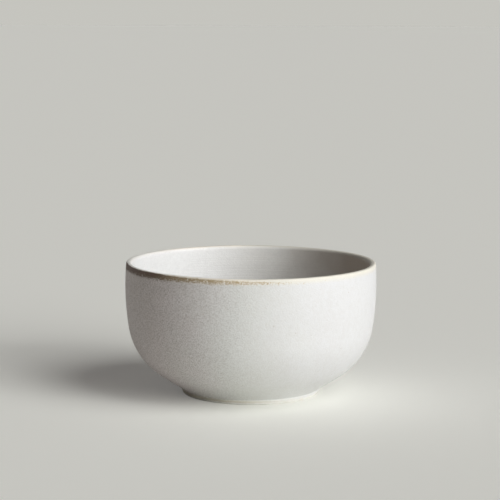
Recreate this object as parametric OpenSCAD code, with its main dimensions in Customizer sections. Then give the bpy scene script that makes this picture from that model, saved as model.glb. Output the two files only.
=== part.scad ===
// Latte bowl without a handle, in glazed stoneware.
// One thrown clay body carries four glaze coats, which meet it face to face: a liner inside,
// a coat outside, a thin band over the lip and a coat in the well under the floor.
// Every piece is turned about the Z axis. Lengths are in millimetres and angles in degrees,
// and the origin is the centre of the foot ring's resting face.

/* [Bowl] */
// Largest outer diameter
bowl_d = 145; // [120:1:175]
// Height from the resting face to the top of the lip
bowl_h = 76; // [60:0.5:105]
// Height of the largest diameter
widest_z = 62.5; // [50:0.5:75]
// Radius of the upper wall's slight bulge
wall_bulge_r = 158; // [110:1:300]
// Radius of the belly, between the upper wall and the underside
belly_r = 39.7; // [28:0.1:52]
// Slope of the straight underside
underside_angle = 33; // [22:0.5:42]

/* [Wall] */
// Thickness of the lip
lip_t = 3.6; // [2:0.1:5]
// Thickness of the wall at the belly and the underside
wall_t = 4; // [2.5:0.1:6]
// Thickness of the floor at its middle
floor_t = 5; // [3:0.1:8]
// Rise of the floor's dish, from its middle to its edge
dish_h = 8; // [4:0.1:14]

/* [Foot ring] */
// Outer diameter of the foot ring
foot_d = 80; // [60:0.5:95]
// Height of the foot ring's outer face
foot_h = 2.8; // [2.2:0.1:5]
// Width of the foot ring
foot_t = 5; // [3:0.1:9]
// Depth of the well inside the foot ring
well_h = 3.2; // [2.6:0.1:5]
// Radius of the hollow where the foot ring meets the underside
foot_hollow_r = 1; // [0.3:0.1:2]
// Radius of the hollow where the foot ring meets the well
well_hollow_r = 1.4; // [0.5:0.1:1.8]
// Rounding of the resting face's two edges
foot_edge_r = 0.6; // [0.2:0.1:1]

/* [Glaze] */
// Thickness of the glaze coats
glaze_t = 0.4; // [0.2:0.05:0.8]
// Height of the bare clay left on the foot ring below the glaze
bare_h = 1.2; // [0.8:0.1:1.6]
// Reach of the lip's glaze band down the outside, from the lip's half round
band_out_l = 1.5; // [0.4:0.1:8]
// Reach of the lip's glaze band down the inside, from the lip's half round
band_in_l = 0.5; // [0.4:0.1:8]

/* [Hidden] */

// How far a straight step of the profile may lie inside the arc that it follows
arc_sag = 0.008;
// Steps of the floor's dish, from its middle to its edge
dish_steps = 32;
// Steps around the axis
turn_steps = 180;

// The direction at an angle up from level, in the plane that is turned about the axis
function toward(a) = [cos(a), sin(a)];

// The angle that a length along an arc of radius r takes
function arc_angle(l, r) = l / r * 180 / PI;

bowl_r = bowl_d / 2;
foot_r = foot_d / 2;
lip_r = lip_t / 2;
well_r = foot_r - foot_t;
floor_z = well_h + floor_t;

// The upper wall is an arc whose centre lies at the height of the largest diameter
wall_c = [bowl_r - wall_bulge_r, widest_z];

// The underside is a straight line that leaves the top of the foot ring at its slope
foot_top = [foot_r, foot_h];
slope = toward(underside_angle);
slope_normal = toward(underside_angle + 90);

// The belly is an arc that touches the underside and, from inside, the upper wall:
// its centre runs along a line beside the underside until it is as far from wall_c as it must be
belly_line = foot_top + belly_r * slope_normal;
belly_offset = belly_line - wall_c;
belly_along = belly_offset * slope;
belly_reach = pow(wall_bulge_r - belly_r, 2) - belly_offset * belly_offset;
underside_l = sqrt(pow(belly_along, 2) + belly_reach) - belly_along;
belly_c = belly_line + underside_l * slope;
belly_top_angle = atan2(belly_c.y - wall_c.y, belly_c.x - wall_c.x);
slope_angle = underside_angle - 90;

// The foot ring's hollow has its centre in the open air. It touches the underside or, where the belly
// comes down so far that the underside is too short for it, the belly
foot_hollow_drop = foot_hollow_r * (1 - sin(underside_angle)) / cos(underside_angle);
hollow_on_belly = underside_l < foot_hollow_drop;
foot_hollow_x = foot_r + foot_hollow_r;
centres_l = belly_r + foot_hollow_r;
centres_angle = -acos((foot_hollow_x - belly_c.x) / centres_l);
belly_end_angle = hollow_on_belly ? centres_angle : slope_angle;
foot_hollow_c = hollow_on_belly
    ? belly_c + centres_l * toward(centres_angle)
    : [foot_hollow_x, foot_h - foot_hollow_drop];

// The lip is a half round that touches both faces of the wall
lip_angle = asin((bowl_h - lip_r - widest_z) / (wall_bulge_r - lip_r));
lip_c = wall_c + (wall_bulge_r - lip_r) * toward(lip_angle);
band_out_angle = lip_angle - arc_angle(band_out_l, wall_bulge_r);
band_in_angle = lip_angle - arc_angle(band_in_l, wall_bulge_r - lip_t);

// The floor's dish ends on the inner face of the belly or, where that lies higher, of the underside
inner_belly_r = belly_r - wall_t;
inner_belly_end = belly_c + inner_belly_r * toward(slope_angle);
dish_z = floor_z + dish_h;
dish_on_belly = dish_z > inner_belly_end.y;
dish_angle = dish_on_belly ? asin((dish_z - belly_c.y) / inner_belly_r) : slope_angle;
dish_edge = dish_on_belly
    ? belly_c + inner_belly_r * toward(dish_angle)
    : inner_belly_end - (inner_belly_end.y - dish_z) / sin(underside_angle) * slope;

// The hollow between the foot ring and the well has its centre in the open air too
well_hollow_c = [well_r - well_hollow_r, well_h - well_hollow_r];

// Steps that keep a turn of an arc within its sag
function arc_steps(r, turn) = ceil(abs(turn) / (2 * acos(1 - arc_sag / r)));

// The angles from one angle to another, in steps that suit an arc of radius r
function sweep(r, from, to) =
    let (steps = arc_steps(r, to - from))
    [for (i = [0:steps]) from + (to - from) * i / steps];

function arc(c, r, from, to) = [for (a = sweep(r, from, to)) c + r * toward(a)];

function reversed(points) = [for (i = [len(points) - 1:-1:0]) points[i]];

// A run of points that starts where the last run ended leaves out its first point
function onward(points) = [for (i = [1:len(points) - 1]) points[i]];

// The wall is full at the belly and thins smoothly towards the lip
function wall_t_at(a) =
    let (up_share = (a - belly_top_angle) / (lip_angle - belly_top_angle))
    wall_t + (lip_t - wall_t) * pow(up_share, 2) * (3 - 2 * up_share);

// The runs below follow the bowl's surface at a depth under it: zero is the face of the glaze,
// and glaze_t is the face of the clay that carries it

// Along the inside of the upper wall, between two angles
function inner_wall(depth, from, to) = [
    for (a = sweep(wall_bulge_r, from, to))
    wall_c + (wall_bulge_r - wall_t_at(a) + depth) * toward(a)
];

// From the edge of the floor's dish to its middle. The dish rises as a power of the radius,
// and the power is the one that gives its edge the slope of the face that it meets there
function dish_run(depth) =
    let (edge = dish_edge + depth * toward(dish_angle))
    let (middle_z = floor_z - depth)
    let (rise = edge.y - middle_z)
    let (power = tan(90 + dish_angle) * edge.x / rise)
    [
        for (i = [dish_steps:-1:0])
        let (edge_share = sqrt(i / dish_steps))
        [edge.x * edge_share, middle_z + rise * pow(edge_share, power)]
    ];

// Down the outside, from the lip's band to the foot ring
function outer_run(depth) =
    let (hollow = arc(foot_hollow_c, foot_hollow_r + depth, belly_end_angle + 180, 180))
    concat(
        arc(wall_c, wall_bulge_r - depth, band_out_angle, belly_top_angle),
        onward(arc(belly_c, belly_r - depth, belly_top_angle, belly_end_angle)),
        hollow_on_belly ? onward(hollow) : hollow
    );

// Up the outside, over the lip and down the inside
function rim_run(depth) = concat(
    arc(wall_c, wall_bulge_r - depth, band_out_angle, lip_angle),
    onward(arc(lip_c, lip_r - depth, lip_angle, lip_angle + 180)),
    onward(inner_wall(depth, lip_angle, band_in_angle))
);

// Down the inside, from the lip's band to the middle of the floor
function inner_run(depth) = concat(
    inner_wall(depth, band_in_angle, belly_top_angle),
    onward(arc(belly_c, inner_belly_r + depth, belly_top_angle, dish_angle)),
    dish_on_belly ? onward(dish_run(depth)) : dish_run(depth)
);

// Up the inner face of the foot ring and across the well to its middle
function well_run(depth) = concat(
    arc(well_hollow_c, well_hollow_r + depth, 0, 90),
    [[0, well_h + depth]]
);

// The bare foot ring's two rounded edges, with the resting face between them
function resting_run() = concat(
    arc([foot_r - glaze_t - foot_edge_r, foot_edge_r], foot_edge_r, 0, -90),
    arc([well_r + glaze_t + foot_edge_r, foot_edge_r], foot_edge_r, -90, -180)
);

module turned(points) {
    rotate_extrude($fn = turn_steps) polygon(points);
}

// A coat lies between a run at the glaze's face and the same run at the clay's face
module coat(face, back) {
    turned(concat(face, reversed(back)));
}

module stoneware_body() {
    clay = concat(
        outer_run(glaze_t),
        resting_run(),
        well_run(glaze_t),
        reversed(inner_run(glaze_t)),
        onward(reversed(onward(rim_run(glaze_t))))
    );
    color("wheat") turned(clay);
}

module inner_glaze() {
    color("linen") coat(inner_run(0), inner_run(glaze_t));
}

module outer_glaze() {
    face = concat(outer_run(0), [[foot_r, bare_h]]);
    back = concat(outer_run(glaze_t), [[foot_r - glaze_t, bare_h]]);
    color("linen") coat(face, back);
}

module rim_glaze() {
    color("tan") coat(rim_run(0), rim_run(glaze_t));
}

module foot_well_glaze() {
    face = concat([[well_r, bare_h]], well_run(0));
    back = concat([[well_r + glaze_t, bare_h]], well_run(glaze_t));
    color("linen") coat(face, back);
}

stoneware_body();
inner_glaze();
outer_glaze();
rim_glaze();
foot_well_glaze();
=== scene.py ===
# %% [markdown]
# # A latte bowl in glazed stoneware
#
# A handle-less bowl: a steep upper wall, a round belly, a straight underside and a low foot ring.
# One clay body carries four glaze coats, and the lip is where the glaze runs thin and breaks to tan.
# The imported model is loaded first. Everything below is made in its frame, in metres, so a finished
# piece lies exactly where the solid that it stands for lies.

import bpy
import numpy as np
from mathutils import Matrix, Vector


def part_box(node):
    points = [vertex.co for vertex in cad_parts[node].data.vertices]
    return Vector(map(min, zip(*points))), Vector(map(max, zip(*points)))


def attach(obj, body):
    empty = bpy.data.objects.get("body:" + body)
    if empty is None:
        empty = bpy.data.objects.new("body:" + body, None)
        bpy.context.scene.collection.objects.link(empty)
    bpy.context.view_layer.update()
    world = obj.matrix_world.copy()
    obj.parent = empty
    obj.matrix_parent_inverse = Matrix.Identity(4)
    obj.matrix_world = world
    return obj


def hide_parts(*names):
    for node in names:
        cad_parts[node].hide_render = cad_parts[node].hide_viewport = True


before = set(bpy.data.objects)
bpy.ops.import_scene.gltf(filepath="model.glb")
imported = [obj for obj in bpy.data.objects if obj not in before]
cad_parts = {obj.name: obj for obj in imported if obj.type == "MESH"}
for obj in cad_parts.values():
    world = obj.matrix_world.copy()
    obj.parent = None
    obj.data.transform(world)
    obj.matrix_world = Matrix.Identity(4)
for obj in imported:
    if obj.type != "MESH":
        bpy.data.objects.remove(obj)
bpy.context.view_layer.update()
MM = 0.001


# %% [markdown]
# ## The sizes that shape the outline
#
# Whatever a node's box can tell is read from the frame: the radius, the height, where each coat ends
# and how thick it is. What no box shows is written here: lengths in millimetres and one slope in degrees.

# %% Sizes
outer_low, outer_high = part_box("outer_glaze")
liner_low, liner_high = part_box("inner_glaze")
rim_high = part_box("rim_glaze")[1]
well_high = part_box("foot_well_glaze")[1]
clay_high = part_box("stoneware_body")[1]

bowl_r = outer_high.x
bowl_h = rim_high.z
glaze_t = outer_high.x - clay_high.x
bare_h = outer_low.z
well_r = well_high.x - glaze_t
well_h = well_high.z - glaze_t
floor_z = liner_low.z + glaze_t

widest_z = 62.5 * MM
wall_bulge_r = 158 * MM
belly_r = 39.7 * MM
underside_angle = np.radians(33)
lip_t = 3.6 * MM
lip_squareness = 3.5
wall_t = 4 * MM
dish_h = 8 * MM
foot_r = 40 * MM
foot_h = 2.8 * MM
foot_hollow_r = 1 * MM
well_hollow_r = 1.4 * MM
foot_edge_r = 0.6 * MM
print(f"radius {bowl_r / MM:.2f}, height {bowl_h / MM:.2f}, glaze {glaze_t / MM:.2f} mm")

# %% [markdown]
# ## The skin: one line from the foot, over the lip, to the middle of the floor
#
# A thrown bowl is a line turned about an axis. The line could be drawn as a Bezier curve, but arcs keep the
# radii that the solids have. Here it is the glazed face, built from arcs and straight stretches that touch
# each other: foot ring, hollow, underside, belly, wall, lip, and the same on the inside down to a dished
# floor. The lip is almost a half round, but its outer shoulder is squarer, which keeps its top flat enough
# to catch the light. Each stretch is an array of points (radius, height).

# %% Centres and angles of the arcs
def toward(angle):
    """The unit vectors (cos, sin) at the given angles, as an array whose last axis is (radius, height)."""
    return np.stack([np.cos(angle), np.sin(angle)], axis=-1)


quarter = np.pi / 2
lip_r = lip_t / 2
wall_c = np.array([bowl_r - wall_bulge_r, widest_z])
slope = toward(underside_angle)
belly_line = np.array([foot_r, foot_h]) + belly_r * toward(underside_angle + quarter)
belly_offset = belly_line - wall_c
belly_along = belly_offset @ slope
belly_reach = (wall_bulge_r - belly_r) ** 2 - belly_offset @ belly_offset
belly_c = belly_line + (np.sqrt(belly_along ** 2 + belly_reach) - belly_along) * slope
belly_top = np.arctan2(belly_c[1] - wall_c[1], belly_c[0] - wall_c[0])
belly_end = underside_angle - quarter
lip_angle = np.arcsin((bowl_h - lip_r - widest_z) / (wall_bulge_r - lip_r))
lip_c = wall_c + (wall_bulge_r - lip_r) * toward(lip_angle)
band_out = np.arcsin((outer_high.z - widest_z) / wall_bulge_r)
band_in = np.arcsin((liner_high.z - widest_z) / (wall_bulge_r - lip_t))
hollow_drop = foot_hollow_r * (1 - np.sin(underside_angle)) / np.cos(underside_angle)
hollow_c = np.array([foot_r + foot_hollow_r, foot_h - hollow_drop])
inner_belly_r = belly_r - wall_t
dish_angle = np.arcsin((floor_z + dish_h - belly_c[1]) / inner_belly_r)
print("belly centre in mm:", np.round(belly_c / MM, 2), "lip centre:", np.round(lip_c / MM, 2))

# %% The shapes of the stretches
def straight(start, stop, steps):
    """Points start + (stop - start) * share, as the share goes from 0 to 1."""
    return np.linspace(start, stop, steps + 1)


def arc(centre, radius, start, stop, steps):
    """Points centre + radius * (cos a, sin a) as a goes from start to stop. The radius may be an array."""
    return centre + np.reshape(radius, (-1, 1)) * toward(straight(start, stop, steps))


def inner_wall(start, stop, steps):
    """The inside of the upper wall: wall_bulge_r less a thickness that eases from wall_t to lip_t."""
    share = (straight(start, stop, steps) - belly_top) / (lip_angle - belly_top)
    thickness = wall_t + (lip_t - wall_t) * share ** 2 * (3 - 2 * share)
    return arc(wall_c, wall_bulge_r - thickness, start, stop, steps)


def lip_round(steps):
    """Over the lip: |across| ** n + |up| ** n = lip_r ** n; n eases from lip_squareness outside to 2."""
    over = straight(0, np.pi, steps)
    n = 2 + (lip_squareness - 2) * (1 + np.cos(over)) / 2
    reach = lip_r * (np.abs(np.cos(over)) ** n + np.abs(np.sin(over)) ** n) ** (-1 / n)
    return arc(lip_c, reach, lip_angle, lip_angle + np.pi, steps)


def dished_floor(steps):
    """Floor height = middle + dish_h * (r / edge r) ** power; the power gives the edge the belly's slope."""
    edge = belly_c + inner_belly_r * toward(dish_angle)
    power = np.tan(quarter + dish_angle) * edge[0] / dish_h
    share = straight(1, 0, steps)
    return np.stack([edge[0] * share, floor_z + dish_h * share ** power], axis=-1)


# %% The skin, stretch by stretch
underside_start = hollow_c + foot_hollow_r * toward(np.pi + belly_end)
underside_stop = belly_c + belly_r * toward(belly_end)
outer_stretches = [
    straight([foot_r, bare_h], [foot_r, hollow_c[1]], steps=12),
    arc(hollow_c, foot_hollow_r, np.pi, np.pi + belly_end, steps=10),
    straight(underside_start, underside_stop, steps=19),
    arc(belly_c, belly_r, belly_end, belly_top, steps=48),
    arc(wall_c, wall_bulge_r, belly_top, band_out, steps=48),
]
rim_stretches = [
    arc(wall_c, wall_bulge_r, band_out, lip_angle, steps=12),
    lip_round(steps=36),
    inner_wall(lip_angle, band_in, steps=8),
]
liner_stretches = [
    inner_wall(band_in, belly_top, steps=48),
    arc(belly_c, inner_belly_r, belly_top, dish_angle, steps=40),
    dished_floor(steps=56),
]


def joined(stretches):
    """One run of points from stretches that meet end to start: each later one leaves out its first point."""
    return np.concatenate([stretches[0]] + [points[1:] for points in stretches[1:]])


skin = joined(outer_stretches + rim_stretches + liner_stretches)
outer_rows = len(joined(outer_stretches))
rim_rows = len(joined(rim_stretches))
print("skin points:", len(skin), "of which outside", outer_rows, "and over the lip", rim_rows)

# %% Distance along the skin and the way out of it
def run_lengths(points):
    """Distance along a run of points, from its first point."""
    return np.concatenate([[0], np.cumsum(np.linalg.norm(np.diff(points, axis=0), axis=1))])


def run_normals(points):
    """Unit normals: the run's direction, by central differences, turned a quarter turn to the right."""
    way = np.gradient(points, run_lengths(points), axis=0)
    normals = np.stack([way[:, 1], -way[:, 0]], axis=-1)
    return normals / np.linalg.norm(normals, axis=1, keepdims=True)


skin_length = run_lengths(skin)
skin_normal = run_normals(skin)
skin_normal[0] = [1, 0]
skin_normal[-1] = [0, 1]
over_lip = slice(outer_rows, outer_rows + rim_rows)
crown_length = np.interp(0, -skin_normal[over_lip, 0], skin_length[over_lip])
print(f"skin is {skin_length[-1] / MM:.1f} mm long, crown of the lip at {crown_length / MM:.1f} mm")

# %% [markdown]
# ## The hand in it
#
# A perfect turned surface looks like plastic. A real bowl wavers a little, carries faint rings where the
# clay was drawn up and turned, and has glaze that lies in slow swells. All three are sums of a few waves
# around the bowl and along the skin, so they could be bump maps, but as geometry they also bend the edge
# of the lip and the soft reflections. They die out at the middle of the floor, where the rings close up.
# The lip's inner edge is wiped a little lower, as a wet leather leaves it.

# %% Unevenness of the surface
wave_count = 12
inside_blend_l = 2 * MM
outer_ring_share = 0.35
wipe_h = 0.12 * MM
wipe_l = 1.2 * MM
wipe_from_crown = 1.8 * MM
calm_middle_r = 14 * MM


def waves(turn, along, counts, lengths, height, seed):
    """Sum over k of height * cos(around_k * turn + 2 pi * along / length_k + phase_k) / sqrt(wave_count)."""
    rng = np.random.default_rng(seed)
    around = rng.integers(counts[0], counts[1] + 1, wave_count)
    length = rng.uniform(lengths[0], lengths[1], wave_count) * rng.choice([-1, 1], wave_count)
    phase = rng.uniform(0, 2 * np.pi, wave_count)
    angle = around * turn[:, None, None] + 2 * np.pi * along[None, :, None] / length + phase
    return height * np.cos(angle).sum(axis=-1) / np.sqrt(wave_count)


def unevenness(turn, along, radius):
    """How far the surface stands out: wavering + rings + swells, none at the axis, less a wiped inner lip."""
    inside = 1 / (1 + np.exp((crown_length - along) / inside_blend_l))
    ring_share = outer_ring_share + (1 - outer_ring_share) * inside
    wavering = waves(turn, along, counts=(2, 5), lengths=(60 * MM, 160 * MM), height=0.07 * MM, seed=3)
    rings = waves(turn, along, counts=(1, 1), lengths=(2.2 * MM, 6 * MM), height=0.008 * MM, seed=5)
    swells = waves(turn, along, counts=(6, 40), lengths=(9 * MM, 30 * MM), height=0.006 * MM, seed=7)
    off_middle = 1 - np.exp(-(radius / calm_middle_r) ** 2)
    wiped = wipe_h * np.exp(-((along - crown_length - wipe_from_crown) / wipe_l) ** 2)
    return (wavering + rings * ring_share + swells) * off_middle - wiped


# %% [markdown]
# ## Turning a line into a closed shell
#
# Blender has a Screw modifier and a Spin tool for this. Here the whole grid is worked out at once instead:
# one axis of the array goes around the bowl, the other along the outline, and the outline may waver
# from turn to turn. A closed outline gives a ring, and one that starts and ends on the axis gives
# a shell with two poles, each closed by a fan of triangles.

# %% Mesh of a turned shell
turn_steps = 400
turn = np.linspace(0, 2 * np.pi, turn_steps, endpoint=False)
sharp_angle = np.radians(50)


def grid_faces(rows, wrap):
    """Quads between neighbouring turns and rows of a grid numbered turn * rows + row, closed all around."""
    row = np.arange(rows if wrap else rows - 1)
    this_turn = np.arange(turn_steps)[:, None] * rows
    next_turn = (np.arange(turn_steps)[:, None] + 1) % turn_steps * rows
    next_row = (row + 1) % rows
    corners = [this_turn + row, next_turn + row, next_turn + next_row, this_turn + next_row]
    return np.stack(corners, axis=-1).reshape(-1, 4)


def turned_mesh(name, radius, height, values, poles):
    """A mesh at (radius cos turn, radius sin turn, height). With poles, the end rows are single points."""
    if poles:
        pole_heights = [height[:, 0].mean(), height[:, -1].mean()]
        pole_values = [values[0, 0], values[0, -1]]
        radius, height, values = radius[:, 1:-1], height[:, 1:-1], values[:, 1:-1]
    rows = radius.shape[1]
    points = np.stack([radius * np.cos(turn)[:, None], radius * np.sin(turn)[:, None], height], axis=-1)
    points = points.reshape(-1, 3)
    faces = grid_faces(rows, not poles).tolist()
    shades = values.reshape(-1)
    if poles:
        first = np.arange(turn_steps) * rows
        following = (np.arange(turn_steps) + 1) % turn_steps * rows
        start = np.full(turn_steps, len(points))
        faces += np.stack([following, first, start], axis=-1).tolist()
        faces += np.stack([first + rows - 1, following + rows - 1, start + 1], axis=-1).tolist()
        points = np.concatenate([points, [[0, 0, z] for z in pole_heights]])
        shades = np.concatenate([shades, pole_values])
    mesh = bpy.data.meshes.new(name)
    mesh.from_pydata(points.tolist(), [], faces)
    from_crown = mesh.attributes.new("from_crown", "FLOAT", "POINT")
    from_crown.data.foreach_set("value", shades.astype(np.float32))
    mesh.polygons.foreach_set("use_smooth", np.ones(len(faces), bool))
    mesh.set_sharp_from_angle(angle=sharp_angle)
    return mesh


# %% A mesh as a finished piece
def finished_piece(mesh, node):
    """Puts a mesh in the scene as a piece that stands in for a node, which it hides, and rides with the bowl.
    """
    piece = bpy.data.objects.new(mesh.name, mesh)
    bpy.context.scene.collection.objects.link(piece)
    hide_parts(node)
    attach(piece, "root")
    triangles = sum(len(polygon.vertices) - 2 for polygon in mesh.polygons)
    print(f"{piece.name}: {len(mesh.vertices)} points, {triangles} triangles")
    return piece


# %% [markdown]
# ## The glaze coats
#
# A coat is the skin on one side and the clay's face, one glaze thickness below, on the other. A Solidify
# modifier could give it that thickness, but its back would copy the face's unevenness. Here both sides are
# worked out, so the back lies on the clay. It can't be seen, so it takes only every few rows. Where a coat
# stops on the foot ring, melted glaze draws back into a wavy line with a soft rounded edge and a slightly
# thicker roll above it.

# %% Free edge of a coat
round_l = 0.5 * MM
round_share = 0.95
roll_h = 0.07 * MM
roll_l = 0.35 * MM
roll_from_edge = 0.9 * MM
creep_h = 0.16 * MM
creep_l = 1.05 * MM


def rolled_edge(distance):
    """Change of thickness near a coat's free edge: a quarter round down to the clay, below a low roll."""
    near = np.clip(1 - distance / round_l, 0, 1)
    rounding = round_share * glaze_t * (np.sqrt(1 - near ** 2) - 1)
    roll = roll_h * np.exp(-((distance - roll_from_edge) / roll_l) ** 2)
    return rounding + roll


def creep(distance):
    """How far the free edge runs along the surface, from turn to turn, fading out over creep_l."""
    line = waves(turn, np.zeros(1), counts=(3, 34), lengths=(1, 1), height=creep_h, seed=11)
    return line * np.clip(1 - distance / creep_l, 0, 1) ** 2


# %% Shape of a coat
calm_edge_l = 3 * MM
back_row_step = 6


def sparse_rows(count, step):
    """Every so many of a run's rows, and always its last one."""
    return np.unique(np.append(np.arange(0, count, step), count - 1))


def coat_mesh(name, run, normal, length, from_crown, free_edge=False, to_axis=False):
    """Face = run + normal * unevenness, any free edge rolled and creeping; back = run - normal * glaze_t."""
    lift = unevenness(turn, length, run[:, 0])
    print(f"{name}: surface {lift.min() / MM:.2f} to {lift.max() / MM:.2f} mm off the turned line")
    sideways = np.zeros_like(lift)
    if free_edge:
        distance = length - length[0]
        lift = lift * np.clip(distance / calm_edge_l, 0, 1) + rolled_edge(distance)
        sideways = creep(distance)
    way = np.stack([-normal[:, 1], normal[:, 0]], axis=-1)
    face = run + lift[..., None] * normal + sideways[..., None] * way
    back_rows = sparse_rows(len(run), back_row_step)
    back = np.broadcast_to((run - glaze_t * normal)[back_rows], (turn_steps, len(back_rows), 2))
    loop = np.concatenate([face, back[:, ::-1]], axis=1)
    values = np.concatenate([from_crown, from_crown[back_rows][::-1]])
    if to_axis:
        loop = np.roll(loop, -len(run), axis=1)
        values = np.roll(values, -len(run))
    values = np.broadcast_to(values, loop.shape[:2])
    return turned_mesh(name, loop[..., 0], loop[..., 1], values, to_axis)


# %% Outer coat, lip band and liner
skin_from_crown = crown_length - skin_length
outer_part = slice(0, outer_rows)
rim_part = slice(outer_rows - 1, outer_rows + rim_rows - 1)
liner_part = slice(outer_rows + rim_rows - 2, len(skin))


def skin_coat(name, part, **ends):
    """The coat over one part of the skin."""
    return coat_mesh(name, skin[part], skin_normal[part], skin_length[part], skin_from_crown[part], **ends)


outer_coat = finished_piece(skin_coat("outer_coat", outer_part, free_edge=True), "outer_glaze")
lip_band = finished_piece(skin_coat("lip_band", rim_part), "rim_glaze")
liner_coat = finished_piece(skin_coat("liner_coat", liner_part, to_axis=True), "inner_glaze")

# %% Coat in the well under the floor
well_c = np.array([well_r - well_hollow_r, well_h - well_hollow_r])
well = joined([
    straight([well_r, bare_h], [well_r, well_c[1]], steps=6),
    arc(well_c, well_hollow_r, 0, quarter, steps=12),
    straight([well_c[0], well_h], [0, well_h], steps=39),
])
well_normal = -run_normals(well)
well_normal[0] = [-1, 0]
well_normal[-1] = [0, -1]
well_length = run_lengths(well)
well_from_crown = crown_length - well_length
well_ends = {"free_edge": True, "to_axis": True}
well_mesh = coat_mesh("well_coat", well, well_normal, well_length, well_from_crown, **well_ends)
well_coat = finished_piece(well_mesh, "foot_well_glaze")

# %% [markdown]
# ## The clay body
#
# Under the coats the clay is hidden, so it follows their backs. It shows only as the bare ring that the
# bowl stands on: potters wipe the foot clean so that it can't stick to the kiln shelf. Its two edges
# are rounded by a sponge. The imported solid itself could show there, but a mesh with the same turns as the
# coats leaves no gaps where it meets them.

# %% Clay body
hidden_row_step = 4
inner_edge_c = np.array([well_r + glaze_t + foot_edge_r, foot_edge_r])
outer_edge_c = np.array([foot_r - glaze_t - foot_edge_r, foot_edge_r])
foot = joined([
    arc(inner_edge_c, foot_edge_r, np.pi, 1.5 * np.pi, steps=8),
    straight([inner_edge_c[0], 0], [outer_edge_c[0], 0], steps=8),
    arc(outer_edge_c, foot_edge_r, -quarter, 0, steps=8),
])
clay_skin = (skin - glaze_t * skin_normal)[sparse_rows(len(skin), hidden_row_step)]
clay_well = (well - glaze_t * well_normal)[::-1]
clay = np.concatenate([clay_well, foot, clay_skin])
clay = np.broadcast_to(clay, (turn_steps, len(clay), 2))
clay_mesh = turned_mesh("clay_body", clay[..., 0], clay[..., 1], np.zeros(clay.shape[:2]), True)
clay_body = finished_piece(clay_mesh, "stoneware_body")

# %% [markdown]
# ## Shader arithmetic
#
# A finish is a graph of nodes, and a long graph is easier to read as sums than as links. This class holds
# one socket. Adding, subtracting or multiplying two of them adds a Math node, and `add` makes any other node
# from its type, its settings and what goes into its sockets.

# %% A socket that can be reckoned with
class Wire:
    """The value of one socket in a shader."""

    def __init__(self, tree, socket=None):
        self.tree = tree
        self.socket = socket

    def add(self, kind, settings, inputs, output=0):
        """A new node: its settings are set first, then each input is given a value or a link."""
        node = self.tree.nodes.new("ShaderNode" + kind)
        for setting, value in settings.items():
            setattr(node, setting, value)
        for name, value in inputs.items():
            if isinstance(value, Wire):
                self.tree.links.new(value.socket, node.inputs[name])
            else:
                node.inputs[name].default_value = value
        return Wire(self.tree, node.outputs[output]) if node.outputs else None

    def math(self, operation, first, second):
        """A Math node on two values or sockets."""
        return self.add("Math", {"operation": operation}, {0: first, 1: second})

    def __add__(self, other):
        return self.math("ADD", self, other)

    def __sub__(self, other):
        return self.math("SUBTRACT", self, other)

    def __rsub__(self, other):
        return self.math("SUBTRACT", other, self)

    def __mul__(self, other):
        return self.math("MULTIPLY", self, other)

    def step(self, low, high):
        """0 below low and 1 above high, with a smooth rise between; the other way round if low is higher."""
        return self.add("MapRange", {"interpolation_type": "SMOOTHSTEP"}, {0: self, 1: low, 2: high})

    def mix(self, first, second):
        """The first colour where this mask is 0, and the second where it is 1."""
        return self.add("Mix", {"data_type": "RGBA"}, {0: self, 6: first, 7: second}, 2)

    def tint(self, colour, tint):
        """The colour as it is where this mask is 0, and times the tint where it is 1."""
        settings = {"data_type": "RGBA", "blend_type": "MULTIPLY"}
        return self.add("Mix", settings, {0: self, 6: colour, 7: tint}, 2)

    __radd__ = __add__
    __rmul__ = __mul__


# %% Starting and ending a finish
def grain(place, size, detail=2.0):
    """Noise from 0 to 1 whose lumps are about that size."""
    return place.add("TexNoise", {}, {"Vector": place, "Scale": 1 / size, "Detail": detail})


def new_finish(name):
    """An empty material, and the place on the object as a Wire to start its shader from."""
    material = bpy.data.materials.new(name)
    material.use_nodes = True
    material.node_tree.nodes.clear()
    place = Wire(material.node_tree).add("TexCoord", {}, {}, "Object")
    return material, place


def surface(place, inputs):
    """Ends a shader: a Principled BSDF with those inputs, into the material's output."""
    place.add("OutputMaterial", {}, {"Surface": place.add("BsdfPrincipled", {}, inputs)})


# %% [markdown]
# ## The white glaze
#
# The glaze is a satin white. Most of what the eye takes for grain is the surface itself, a fine peel of
# shallow dimples, so it belongs in the bump: it shows where light grazes the wall and fades where light
# meets it squarely. The colour itself is almost even: slow clouds where the coat is thicker or thinner,
# some grain where the clay shows through, and sparse specks of iron that have come through. Outside, the
# grain is painted much denser towards the side away from the lamps, as painted shade of the peel there.
# The poured liner is whiter and smoother; part of its whiteness is a painted sheen of its lit wall, and it
# browns softly towards its side away from the lamps, which is painted shade. All of it could be painted on
# an image, but noise in the bowl's own space needs no unwrapping and has no seam.

# %% Slow changes from one side of the bowl to the other
side_waver = 30 * MM


def waver(place, size, amount):
    """Noise about zero in lumps of that size, by up to half the amount either way."""
    return (grain(place, size) - 0.5) * amount


# Every ramp rises towards the side facing away from the lamps: what it mixes there is painted light and
# shade.
def shaded_side(place, ramp):
    """0 at the ramp's first place along X and 1 at its second, with a wavering rise between."""
    across = place.add("SeparateXYZ", {}, {0: place}, "X")
    return (across + waver(place, side_waver, side_waver)).step(*ramp)


# %% White of the glaze
WHITE = (0.757, 0.761, 0.77, 1)
# The liner's white is partly a whiter poured coat and partly a painted sheen of its lit wall.
LINER_WHITE_AND_SHEEN = (0.869, 0.876, 0.87, 1)
THIN_WHITE = (0.724, 0.722, 0.722, 1)
# Painted shade: the liner is tinted warmer and browned towards its side away from the lamps.
LINER_SHADE_TINT = (0.942, 0.929, 0.9, 1)
LINER_SHADE_BROWN = (0.43, 0.355, 0.29, 1)

cloud_size = 26 * MM
mottle_size = 2.2 * MM
cloud_share = 0.45
cloud_edges = (0.36, 0.70)
liner_clouds = 0.35
liner_shade_tint_ramp = (-45 * MM, 20 * MM)
liner_shade_brown_ramp = (15 * MM, 62 * MM)


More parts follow.
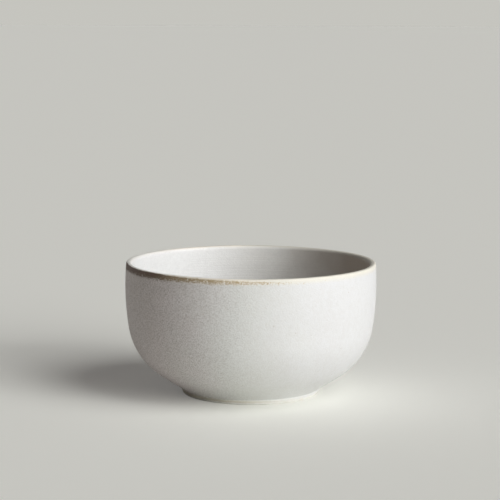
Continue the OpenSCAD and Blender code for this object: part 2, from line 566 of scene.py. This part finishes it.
def clouded_white(place, outside):
    """White with clouds of a thinner white and, inside, painted shade that browns it away from the lamps."""
    clouds = grain(place, cloud_size, detail=3) * cloud_share
    mottle = grain(place, mottle_size, detail=3) * (1 - cloud_share)
    thin = (clouds + mottle).step(*cloud_edges) * (liner_clouds + outside * (1 - liner_clouds))
    white = thin.mix(outside.mix(LINER_WHITE_AND_SHEEN, WHITE), THIN_WHITE)
    faint = (1 - outside) * shaded_side(place, liner_shade_tint_ramp)
    shaded_liner = (1 - outside) * shaded_side(place, liner_shade_brown_ramp)
    return shaded_liner.mix(faint.tint(white, LINER_SHADE_TINT), LINER_SHADE_BROWN)


# %% Grain and specks in the white
GRAIN = (0.44, 0.42, 0.4, 1)
BETWEEN_GRAINS = (1.1, 1.1, 1.1, 1)
SPECK = (0.38, 0.31, 0.24, 1)

shaded_outside_ramp = (30 * MM, -62 * MM)
grain_size = 0.52 * MM
grain_edges = (0.34, 0.74)
base_grain = 0.1
speck_spacing = 4.2 * MM
speck_edge = (0.09, 0.04)
speck_chance = (0.74, 0.78)
speck_strength = 0.6


def mottled_white(place, outside):
    """The clouded white with grain, painted denser outside away from the lamps, and iron specks."""
    # Painted shade: outside, the dark grain grows denser away from the lamps, and the white between is
    # lifted.
    shaded_outside = outside * shaded_side(place, shaded_outside_ramp)
    grain_share = base_grain + shaded_outside * (1 - base_grain)
    grains = grain(place, grain_size, detail=1).step(*grain_edges) * grain_share
    grained = grains.mix(shaded_outside.tint(clouded_white(place, outside), BETWEEN_GRAINS), GRAIN)
    cells = {"Vector": place, "Scale": 1 / speck_spacing}
    near_speck = place.add("TexVoronoi", {}, cells, "Distance")
    chance = place.add("SeparateColor", {}, {0: place.add("TexVoronoi", {}, cells, "Color")})
    specks = near_speck.step(*speck_edge) * chance.step(*speck_chance) * speck_strength
    return specks.mix(grained, SPECK)


# %% [markdown]
# ## Where the glaze breaks
#
# On the lip the melted glaze runs thin, and the iron in the clay colours it: cream on the crown, and grains
# of tan on the shoulder outside that get sparser down the wall until only white is left. How the band
# changes around the bowl is painted light and shade: the crown's cream is lighter towards the side away
# from the lamps, a painted highlight for light from above, and the grains are paler and start lower
# towards the lamps, while away from them they close up and darken to brown. How far a point is from the
# crown, measured along the skin, comes with the mesh as an attribute, so the band follows the lip across
# the seam between two coats. The same measure tints the end of the coat above the bare foot, in the well
# too, and that tint is painted stronger away from the lamps. Towards that side the wall outside is also
# painted lighter and greener, and pinker at its far end: painted tints of its shade. Painted weights could
# mark the band, but a distance keeps it in step with the shape.

# %% Painted tints of the wall's shaded side
# Painted light and shade: the outside wall is lighter and greener away from the lamps, pinker at the far end.
SHADE_LIFT = (1.05, 1.06, 1.03, 1)
SHADE_PINK = (1.04, 0.965, 1.005, 1)

shade_lift_ramp = (45 * MM, -5 * MM)
shade_pink_ramp = (-10 * MM, -50 * MM)


def shade_tinted(colour, place, outside):
    """Outside, painted light and shade: lighter and greener away from the lamps, pinker at the far end."""
    lifted = (outside * shaded_side(place, shade_lift_ramp)).tint(colour, SHADE_LIFT)
    return (outside * shaded_side(place, shade_pink_ramp)).tint(lifted, SHADE_PINK)


# %% Grains of tan
shadedness_ramp = (50 * MM, -75 * MM)
middle_ramp = (40 * MM, -25 * MM)
deepest_shade_ramp = (-25 * MM, -70 * MM)
tan_start = (1.0 * MM, 2.2 * MM)
tan_fade = (5.8 * MM, 2.2 * MM)
tan_tail = (11 * MM, 2 * MM)
tan_grain_size = 0.6 * MM
shade_rise = 0.5 * MM
deepest_shade_rise = 0.3 * MM
lit_drop = 1.4 * MM
lit_side_density = 0.26
middle_density = 0.07
shade_density = 0.2
tail_density = 0.13
shade_stretch = 0.07
grain_limit = 0.85
limit_edge = (-0.1, 0.1)


def tan_grains(place, depth):
    """1 in a grain: noise + a density that starts below the crown and fades with depth, over a limit."""
    # Painted light and shade: away from the lamps the grains start higher and close up; towards them, lower.
    shadedness = shaded_side(place, shadedness_ramp)
    deepest_shade = shaded_side(place, deepest_shade_ramp)
    middle = shaded_side(place, middle_ramp)
    higher = shadedness * shade_rise + deepest_shade * deepest_shade_rise + (middle - 1) * lit_drop
    start = (depth + higher).step(*tan_start)
    fade = (depth * (1 - shadedness * shade_stretch)).step(*tan_fade)
    tail = depth.step(*tan_tail) * deepest_shade * tail_density
    density = start * (fade * (lit_side_density + middle * middle_density + shadedness * shade_density) + tail)
    return (density + grain(place, tan_grain_size, detail=1) - grain_limit).step(*limit_edge)


# %% Cream and tan of the lip
CREAM = (0.815, 0.79, 0.705, 1)
# The next colour paints light from above onto the crown.
HIGHLIGHT_CREAM = (0.95, 0.9, 0.8, 1)
FAINT_CREAM = (0.92, 0.915, 0.87, 1)
FOOT_TINT = (0.62, 0.585, 0.475, 1)
LIT_TAN = (0.66, 0.57, 0.42, 1)
TAN = (0.53, 0.415, 0.25, 1)
SHADE_BROWN = (0.13, 0.078, 0.058, 1)

highlight_cream_ramp = (15 * MM, -15 * MM)
tan_ramp = (52 * MM, 5 * MM)
shade_brown_ramp = (-11 * MM, -64 * MM)
break_lump = 12 * MM
break_waver = 1.0 * MM
cream_inside = (-3.4 * MM, -0.9 * MM)
cream_outside = (5.0 * MM, 1.4 * MM)
foot_tint_reach = (crown_length - 2.0 * MM, crown_length - 0.4 * MM)
lit_foot_tint = 0.15
shaded_foot_tint = 0.75


def broken_glaze(place, below, outside):
    """White glaze, tinted cream near the crown, with grains of tan that are densest on the outer shoulder."""
    depth = below + waver(place, break_lump, break_waver)
    near_crown = depth.step(*cream_inside) * depth.step(*cream_outside)
    # The edge tint is the glaze's own, painted stronger away from the lamps as painted shade.
    foot_tint = lit_foot_tint + shaded_side(place, middle_ramp) * shaded_foot_tint
    # Painted highlight: the crown's cream is lighter towards the side away from the lamps, for light from
    # above.
    highlighted_cream = shaded_side(place, highlight_cream_ramp).mix(CREAM, HIGHLIGHT_CREAM)
    cream = shaded_side(place, deepest_shade_ramp).mix(highlighted_cream, FAINT_CREAM)
    white = near_crown.mix(shade_tinted(mottled_white(place, outside), place, outside), cream)
    plain = (below.step(*foot_tint_reach) * foot_tint).mix(white, FOOT_TINT)
    # Painted light and shade: the tan is paler towards the lamps and darkens to brown away from them.
    tan = shaded_side(place, tan_ramp).mix(LIT_TAN, TAN)
    brown = shaded_side(place, shade_brown_ramp).mix(tan, SHADE_BROWN)
    return tan_grains(place, depth).mix(plain, brown)


# %% Satin glaze over the whole coat
outside_rise = (-4 * MM, 0.0)
turning_line = 0.9 * MM
peel_size = 0.75 * MM
peel_h = 0.11 * MM
turning_share = 1.1
liner_roughness = 0.36
outside_roughness = 0.16
gloss_cloud = 5 * MM
cloud_roughness = 0.12
shine = 0.58


def satin_glaze(name):
    """The white and its break as colour, a fine peel and, inside, turning lines as bump, and slow gloss."""
    material, place = new_finish(name)
    below = place.add("Attribute", {"attribute_name": "from_crown"}, {}, "Fac")
    outside = below.step(*outside_rise)
    lines = {"W": below, "Scale": 1 / turning_line, "Detail": 2.0}
    turning = place.add("TexNoise", {"noise_dimensions": "1D"}, lines)
    peel = grain(place, peel_size, detail=1.5) + (1 - outside) * turning * turning_share
    gloss = grain(place, gloss_cloud, detail=3) * cloud_roughness
    surface(place, {
        "Base Color": broken_glaze(place, below, outside),
        "Roughness": liner_roughness + outside * outside_roughness + gloss,
        "Specular IOR Level": shine,
        "Normal": place.add("Bump", {}, {"Strength": 1.0, "Distance": peel_h, "Height": peel}),
    })
    print(name, "has", len(material.node_tree.nodes), "nodes")
    return material


white_glaze = satin_glaze("white_glaze")
breaking_glaze = satin_glaze("breaking_rim_glaze")
for coat in (outer_coat, liner_coat, well_coat):
    coat.data.materials.append(white_glaze)
lip_band.data.materials.append(breaking_glaze)

# %% [markdown]
# ## The bare clay
#
# The foot ring is pale stoneware, sponged smooth but never glazed: matt, sandy, a little yellower than the
# glaze, with a few darker grains of iron. It is made from noise, as the glaze is, but with a sandier bump.

# %% Pale clay
CLAY = (0.785, 0.775, 0.735, 1)
DARK_CLAY = (0.69, 0.665, 0.605, 1)
IRON = (0.30, 0.22, 0.15, 1)

sand_size = 0.5 * MM
sand_h = 0.05 * MM
sand_share = 0.4
clay_cloud = 4 * MM
mottle_edges = (0.4, 0.7)
iron_size = 0.7 * MM
iron_edges = (0.74, 0.8)
clay_roughness = 0.78
sand_roughness = 0.16


def pale_clay(name):
    """Cream with a darker mottle and sparse iron grains, and a sandy bump."""
    material, place = new_finish(name)
    sand = grain(place, sand_size, detail=3)
    clouds = grain(place, clay_cloud, detail=3)
    mottle = (clouds * (1 - sand_share) + sand * sand_share).step(*mottle_edges)
    iron = grain(place, iron_size, detail=1).step(*iron_edges)
    surface(place, {
        "Base Color": iron.mix(mottle.mix(CLAY, DARK_CLAY), IRON),
        "Roughness": clay_roughness + sand * sand_roughness,
        "Normal": place.add("Bump", {}, {"Distance": sand_h, "Height": sand}),
    })
    return material


clay_body.data.materials.append(pale_clay("bare_stoneware"))
print("finishes:", [m.name for m in bpy.data.materials if m.users])

# %% [markdown]
# ## Floor and light
#
# The bowl stands on a plain pale floor. A broad light stands low at the front right, as a window would,
# a second one higher at its side, and the room itself is dim, so the bowl turns from light to shade as it
# goes round and the inside does the opposite. Area lamps could do the same, but sun lamps with a wide disc
# are just as soft and light all of the floor alike. The low light leaves the floor grey, so the floor and
# the room glow a little for what the camera sees directly or as a reflection, which adds no light to the
# bowl.

# %% Floor
FLOOR = (0.866, 0.872, 0.815, 1)
FLOOR_GLOW = (0.12, 0.12, 0.12, 1)
BLACK = (0, 0, 0, 1)
floor_half = 40.0


def seen(place):
    """1 for rays from the camera, in a reflection or through glass, and 0 for rays that gather light."""
    path = [place.add("LightPath", {}, {}, f"Is {kind} Ray") for kind in ("Camera", "Glossy", "Transmission")]
    return (path[0] + path[1] + path[2]).step(0.0, 1.0)


corners = np.array([[-1, -1, 0], [1, -1, 0], [1, 1, 0], [-1, 1, 0]]) * floor_half
floor_mesh = bpy.data.meshes.new("floor")
floor_mesh.from_pydata(corners.tolist(), [], [(0, 1, 2, 3)])
floor = bpy.data.objects.new("floor", floor_mesh)
bpy.context.scene.collection.objects.link(floor)
floor_paint, floor_place = new_finish("floor_paint")
surface(floor_place, {
    "Base Color": FLOOR,
    "Roughness": 1.0,
    "Specular IOR Level": 0.0,
    "Emission Color": seen(floor_place).mix(BLACK, FLOOR_GLOW),
    "Emission Strength": 1.0,
})
floor_mesh.materials.append(floor_paint)
print("floor is", 2 * floor_half, "m wide")

# %% Lights
def soft_light(name, azimuth, elevation, spread, energy):
    """A sun lamp with a wide disc: azimuth is to the right of the camera's side, in degrees."""
    around = np.radians(azimuth)
    up = np.radians(elevation)
    to_light = Vector((np.sin(around) * np.cos(up), -np.cos(around) * np.cos(up), np.sin(up)))
    lamp = bpy.data.lights.new(name, "SUN")
    lamp.energy = energy
    lamp.angle = np.radians(spread)
    lamp_object = bpy.data.objects.new(name, lamp)
    lamp_object.rotation_euler = to_light.to_track_quat("Z", "Y").to_euler()
    bpy.context.scene.collection.objects.link(lamp_object)
    print(f"{name} from {azimuth} degrees to the right, {elevation} degrees up")


soft_light("low_key", azimuth=50, elevation=12, spread=40, energy=2.55)
soft_light("high_side", azimuth=60, elevation=45, spread=40, energy=1.25)

# %% Room
ROOM = (0.05, 0.042, 0.034, 1)
BACKDROP = (0.560, 0.555, 0.518, 1)
CEILING = (0.11, 0.10, 0.09, 1)
ceiling_ramp = (0.1, 0.6)
room = bpy.data.worlds.new("room")
room.use_nodes = True
room.node_tree.nodes.clear()
room_wire = Wire(room.node_tree)
direction = room_wire.add("TexCoord", {}, {}, "Generated")
overhead = room_wire.add("SeparateXYZ", {}, {0: direction}, "Z").step(*ceiling_ramp)
glow = room_wire.add("Background", {}, {"Color": seen(room_wire).mix(ROOM, overhead.mix(BACKDROP, CEILING))})
room_wire.add("OutputWorld", {}, {"Surface": glow})
bpy.context.scene.world = room
bpy.context.scene.view_settings.view_transform = "Standard"
print("room's light:", ROOM[:3])

# %% [markdown]
# ## Camera
#
# A long lens from about a metre away, a little above the lip and tilted down. A short lens close by could
# show the bowl at the same size, but its near side would look too large. The focal length is measured in
# pixels of the square picture, and Blender wants it in millimetres of its sensor.

# %% Camera
image_px = 500
focal_px = 1748
camera_distance = 1.0
camera_height = 0.2161
pitch = np.radians(7.61)
roll = np.radians(0.24)
yaw = np.radians(0.034)
camera = bpy.data.cameras.new("camera")
camera.sensor_width = 36
camera.lens = camera.sensor_width * focal_px / image_px
camera_object = bpy.data.objects.new("camera", camera)
aim = Matrix.Rotation(yaw, 4, "Z") @ Matrix.Rotation(quarter - pitch, 4, "X")
camera_place = Matrix.Translation((0, -camera_distance, camera_height))
camera_object.matrix_world = camera_place @ aim @ Matrix.Rotation(roll, 4, "Z")
bpy.context.scene.collection.objects.link(camera_object)
bpy.context.scene.camera = camera_object
print(f"lens {camera.lens:.1f} mm")

# %% Finish
bpy.context.view_layer.update()
